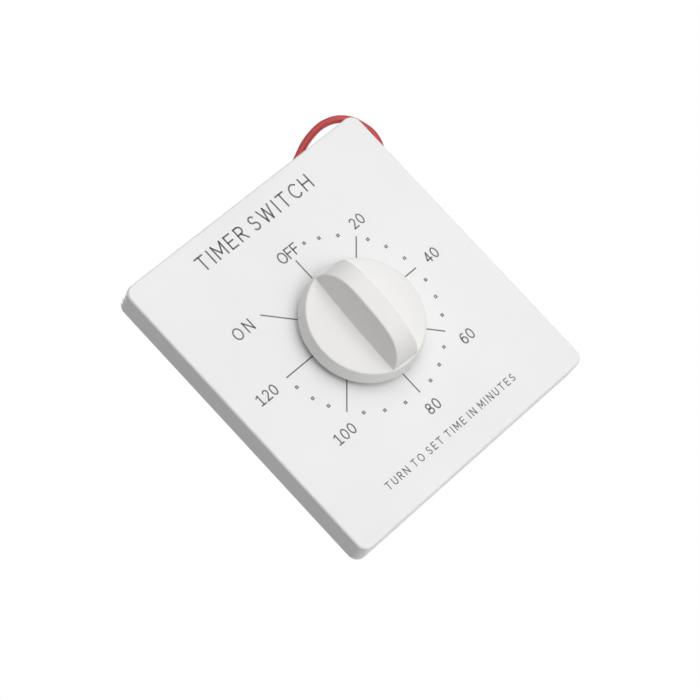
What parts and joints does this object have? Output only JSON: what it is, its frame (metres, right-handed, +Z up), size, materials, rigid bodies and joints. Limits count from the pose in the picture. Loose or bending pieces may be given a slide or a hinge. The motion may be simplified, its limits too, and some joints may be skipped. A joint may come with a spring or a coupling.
{
  "type": "mechanical wall timer switch",
  "caption": "Wall plate with a turn knob on a spring-driven timer movement, which opens a switch contact behind it when the set time has run out.",
  "frame": {"origin": "on the wall plane, midway between the two slots for the wall-box screws, which is also the knob's axis", "axes": "+X to the right seen from the front, -Y out of the wall towards the user, +Z up the wall"},
  "size_m": [0.0951, 0.0511, 0.0961],
  "materials": {
    "cover_plastic": "satin white moulding",
    "knob_plastic": "satin white moulding",
    "frame_plastic": "matt off-white moulding",
    "plated_steel": "zinc-plated steel",
    "bright_steel": "turned bright steel",
    "spring_steel": "tempered spring steel",
    "brass": "stamped and turned brass",
    "contact_brass": "rolled spring brass",
    "contact_silver": "silver contact alloy",
    "cam_plastic": "natural engineering plastic",
    "moulded_block": "dark brown thermoset moulding",
    "tinned_metal": "tinned copper",
    "red_insulation": "soft satin PVC"
  },
  "bodies": {
    "fixed_parts": {"cover_plate": "cover_plastic", "mounting_frame": "frame_plastic", "front_bush": "brass", "rear_bush": "brass", "front_movement_plate": "plated_steel", "rear_movement_plate": "plated_steel", "frame_pillars": "plated_steel", "pillar_nuts": "plated_steel", "movement_screws": "plated_steel", "stop_post": "bright_steel", "mainspring": "spring_steel", "mainspring_post": "bright_steel", "hairspring": "spring_steel", "hairspring_stud": "brass", "terminal_block": "moulded_block", "block_screws": "plated_steel", "fixed_leaf": "contact_brass", "fixed_contact": "contact_silver", "terminal_screws": "plated_steel", "ring_terminals": "tinned_metal", "right_lead": "red_insulation", "left_lead": "red_insulation", "bare_wire_ends": "tinned_metal"},
    "knob_and_shaft": {"knob": "knob_plastic", "knob_spring_clip": "spring_steel", "main_shaft": "bright_steel", "stop_washer": "plated_steel", "ratchet_wheel": "bright_steel", "great_wheel_clip": "spring_steel", "contact_cam": "cam_plastic", "shaft_circlip": "spring_steel"},
    "great_wheel_group": {"great_wheel": "brass", "click_rivet": "bright_steel", "click_spring": "spring_steel"},
    "click_pawl": {"click": "bright_steel"},
    "second_wheel_group": {"second_arbor": "bright_steel", "second_wheel": "brass"},
    "third_wheel_group": {"third_arbor": "bright_steel", "third_wheel": "brass"},
    "fourth_wheel_group": {"fourth_arbor": "bright_steel", "fourth_wheel": "brass"},
    "escape_wheel_group": {"escape_arbor": "bright_steel", "escape_wheel": "brass"},
    "balance_group": {"balance_staff": "bright_steel", "pallet_anchor": "bright_steel", "balance_wheel": "brass"},
    "moving_contact_leaf": {"moving_leaf": "contact_brass", "moving_contact": "contact_silver"}
  },
  "joints": [
    {"name": "knob_turn", "type": "hinge", "parent": "fixed_parts", "child": "knob_and_shaft", "pos_m": [0, 0, 0], "axis": [0, 1, 0], "range_deg": [-48, 267], "deforming": ["mainspring"]},
    {"name": "great_wheel_turn", "type": "hinge", "parent": "fixed_parts", "child": "great_wheel_group", "pos_m": [0, 0, 0], "axis": [0, 1, 0], "range_deg": [-50, 269]},
    {"name": "click_lift", "type": "hinge", "parent": "great_wheel_group", "child": "click_pawl", "pos_m": [0.00016, 0, 0.0092], "axis": [0, -1, 0], "range_deg": [0, 10], "deforming": ["click_spring"]},
    {"name": "second_wheel_turn", "type": "hinge", "parent": "fixed_parts", "child": "second_wheel_group", "pos_m": [-0.01316, 0, -0.00479], "axis": [0, 1, 0], "range_deg": [-1614, 300]},
    {"name": "third_wheel_turn", "type": "hinge", "parent": "fixed_parts", "child": "third_wheel_group", "pos_m": [-0.00584, 0, -0.01327], "axis": [0, 1, 0], "range_deg": [-1800, 9684]},
    {"name": "fourth_wheel_turn", "type": "hinge", "parent": "fixed_parts", "child": "fourth_wheel_group", "pos_m": [0.00449, 0, -0.01379], "axis": [0, 1, 0], "range_deg": [-64560, 12000]},
    {"name": "escape_wheel_turn", "type": "hinge", "parent": "fixed_parts", "child": "escape_wheel_group", "pos_m": [0.01255, 0, -0.01071], "axis": [0, 1, 0], "range_deg": [-80000, 430400]},
    {"name": "balance_swing", "type": "hinge", "parent": "fixed_parts", "child": "balance_group", "pos_m": [0.01723, 0, -0.0052], "axis": [0, 1, 0], "range_deg": [-6, 6], "deforming": ["hairspring"]},
    {"name": "contact_close", "type": "hinge", "parent": "fixed_parts", "child": "moving_contact_leaf", "pos_m": [-0.0144, 0, 0.0069], "axis": [0, 1, 0], "range_deg": [0, 1.6], "deforming": ["moving_leaf"]}
  ],
  "couplings": [
    {"joint": "great_wheel_turn", "follows": "knob_turn", "ratio": 1},
    {"joint": "second_wheel_turn", "follows": "knob_turn", "ratio": -6},
    {"joint": "third_wheel_turn", "follows": "knob_turn", "ratio": 36},
    {"joint": "fourth_wheel_turn", "follows": "knob_turn", "ratio": -240},
    {"joint": "escape_wheel_turn", "follows": "knob_turn", "ratio": 1600}
  ]
}
